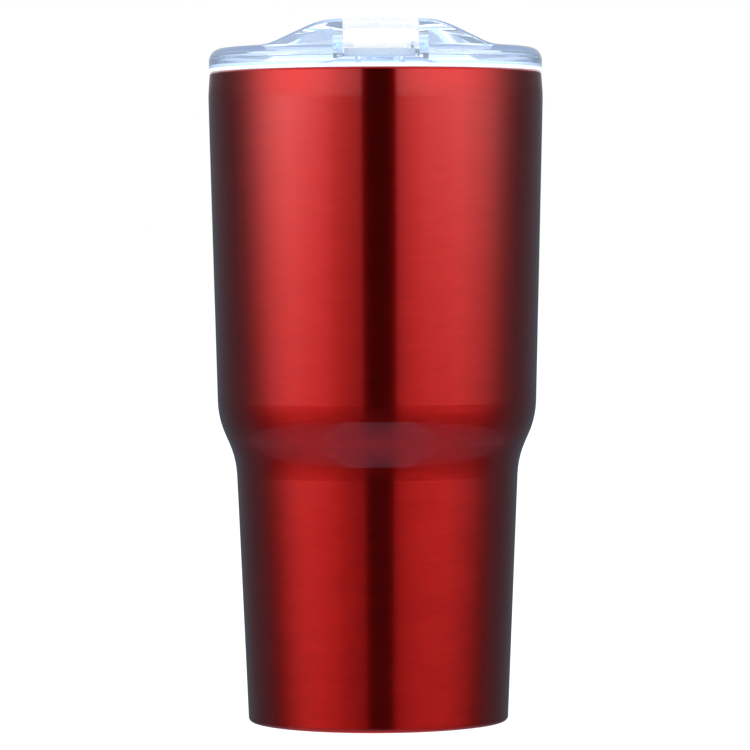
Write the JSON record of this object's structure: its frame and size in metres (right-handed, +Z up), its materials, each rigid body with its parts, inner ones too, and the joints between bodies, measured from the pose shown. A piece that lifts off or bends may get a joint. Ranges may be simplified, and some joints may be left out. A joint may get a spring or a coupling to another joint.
{
  "type": "insulated tumbler with lid",
  "caption": "Stepped double-wall steel tumbler, red metallic lacquer, with a clear press-in lid and a flip tab over the sip hole.",
  "frame": {"origin": "centre of the foot, on the surface the tumbler stands on", "axes": "+Z up along the cup's axis; the sip hole and the free end of the tab face -Y; the hinge line is along X"},
  "size_m": [0.089, 0.089, 0.1855],
  "materials": {
    "painted_steel": "translucent red lacquer over brushed steel, gloss",
    "bare_steel": "brushed",
    "solder": "dull",
    "getter": "matt pressed powder",
    "foil": "bright foil",
    "clear_plastic": "clear moulded copolyester, faint blue",
    "tab_plastic": "clear moulded copolyester, faint blue",
    "silicone": "translucent silicone, satin"
  },
  "bodies": {
    "cup": {"outer_shell": "painted_steel", "inner_liner": "bare_steel", "liner_bottom": "bare_steel", "vacuum_base": "bare_steel", "base_cover": "bare_steel", "seal_pellet": "solder", "getter_cup": "bare_steel", "getter_pellet": "getter", "foil_wrap": "foil", "foil_disc": "foil"},
    "lid": {"lid_base": "clear_plastic", "lid_gasket": "silicone", "lid_top": "clear_plastic", "hinge_pin": "tab_plastic"},
    "tab": {"flip_tab": "tab_plastic", "sip_stopper": "silicone"}
  },
  "joints": [
    {"name": "lid_lift", "type": "slide", "parent": "cup", "child": "lid", "axis": [0, 0, 1], "range_m": [0, 0.04]},
    {"name": "tab_flip", "type": "hinge", "parent": "lid", "child": "tab", "pos_m": [0, 0, 0.1813], "axis": [-1, 0, 0], "range_deg": [0, 180]}
  ]
}
